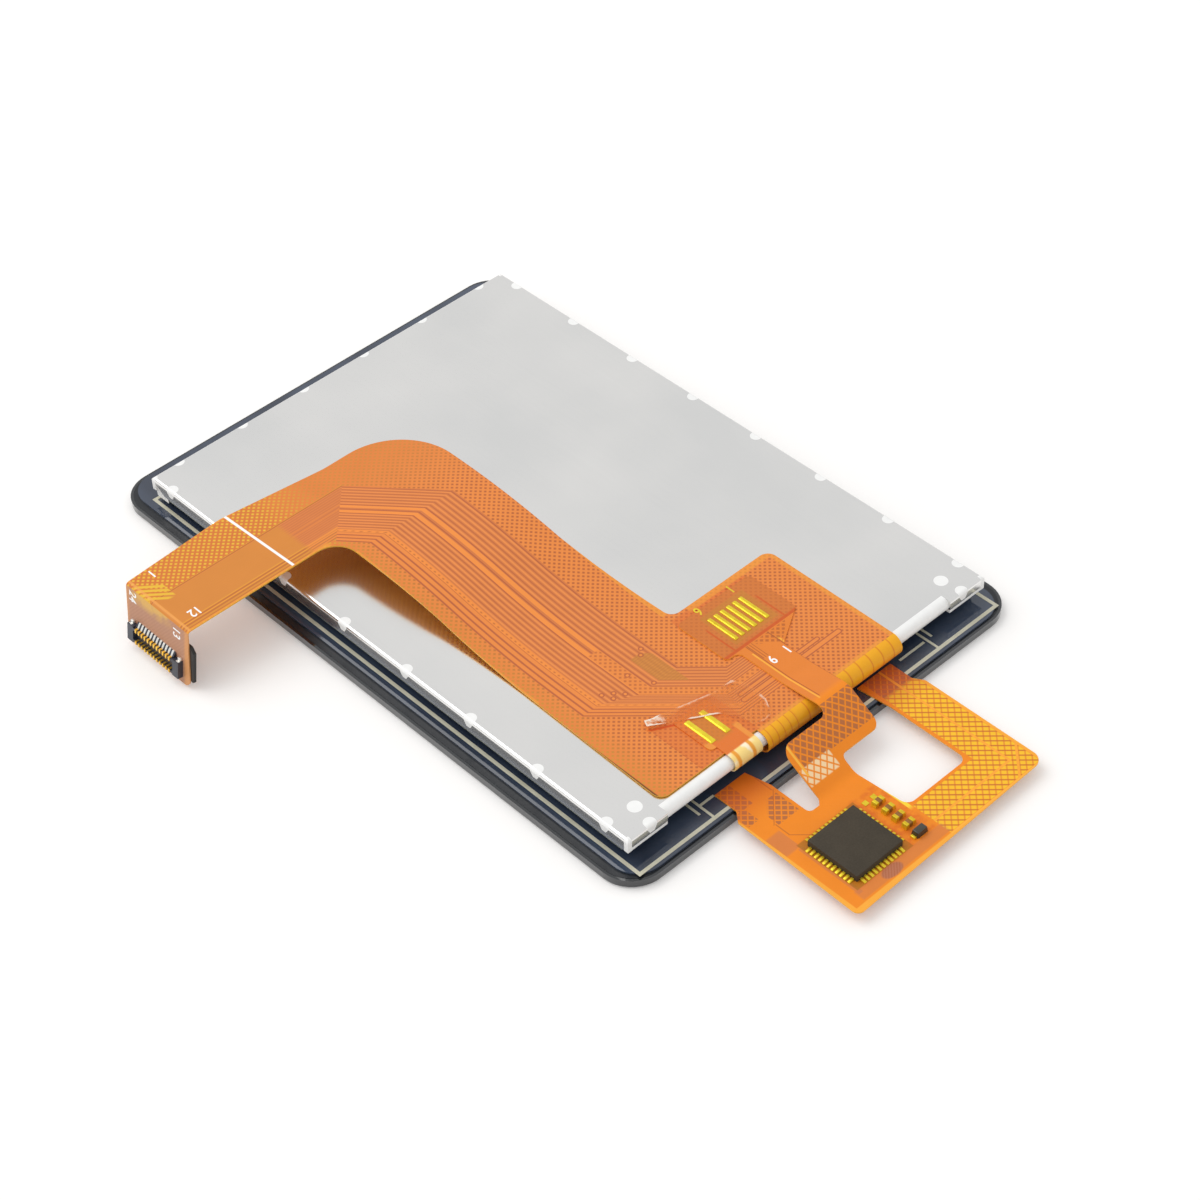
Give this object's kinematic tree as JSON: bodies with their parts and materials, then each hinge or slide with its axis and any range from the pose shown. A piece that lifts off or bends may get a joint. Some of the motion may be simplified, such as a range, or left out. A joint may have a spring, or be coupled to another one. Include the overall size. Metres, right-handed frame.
{
  "type": "lcd display",
  "caption": "Small colour display module with touch glass, polished steel back, folded amber flexible circuits and a board connector, lying face down.",
  "frame": {"origin": "centre of the cover glass's front face, which lies on the table", "axes": "+Z from the viewing face to the steel back, +Y along the long axis away from the end where the circuits leave, +X across"},
  "size_m": [0.0535, 0.0765, 0.0056],
  "materials": {
    "cover_glass": "polished",
    "dark_ink": "printed ink seen through glass",
    "clear_adhesive": "clear",
    "touch_sensor": "glossy film over dark ink",
    "silver_paste": "printed, matte",
    "black_tape": "foam tape",
    "polarizer": "tinted film",
    "cell_glass": "cut edge",
    "bare_chip": "polished silicon",
    "optical_film": "translucent film",
    "clear_acrylic": "clear",
    "white_film": "white film",
    "white_plastic": "moulded, satin",
    "lamp_body": "white package with yellow phosphor",
    "light_circuit": "amber film over copper",
    "polished_steel": "bright rolled",
    "main_circuit": "amber film over copper",
    "black_laminate": "laminate",
    "connector_plastic": "moulded",
    "gold_plate": "gold plated",
    "tin_plate": "bright tin",
    "touch_circuit": "amber film over copper",
    "amber_film": "thin tape, torn edge",
    "chip_package": "moulded resin",
    "ceramic_body": "fired"
  },
  "bodies": {
    "root": {"cover_lens": "cover_glass", "border_ink": "dark_ink", "lens_adhesive": "clear_adhesive", "touch_sensor": "touch_sensor", "guard_traces": "silver_paste", "bonding_tape": "black_tape", "front_polarizer": "polarizer", "filter_glass": "cell_glass", "tft_glass": "cell_glass", "driver_chip": "bare_chip", "rear_polarizer": "polarizer", "rim_tape": "black_tape", "prism_sheet_front": "optical_film", "prism_sheet_back": "optical_film", "diffuser_sheet": "optical_film", "light_guide": "clear_acrylic", "reflector_sheet": "white_film", "backlight_frame": "white_plastic", "led_packages": "lamp_body", "led_flex": "light_circuit", "steel_back": "polished_steel", "main_flex": "main_circuit", "flex_adhesive": "black_tape", "flex_stiffener": "black_laminate", "connector_housing": "connector_plastic", "connector_contacts": "gold_plate", "connector_hold_downs": "tin_plate", "touch_flex": "touch_circuit", "touch_joints": "gold_plate", "led_joints": "gold_plate", "retaining_tape": "amber_film", "touch_controller": "chip_package", "controller_leads": "gold_plate", "chip_capacitors": "ceramic_body", "capacitor_ends": "tin_plate", "small_diode": "chip_package", "bare_pads": "gold_plate"}
  },
  "joints": []
}
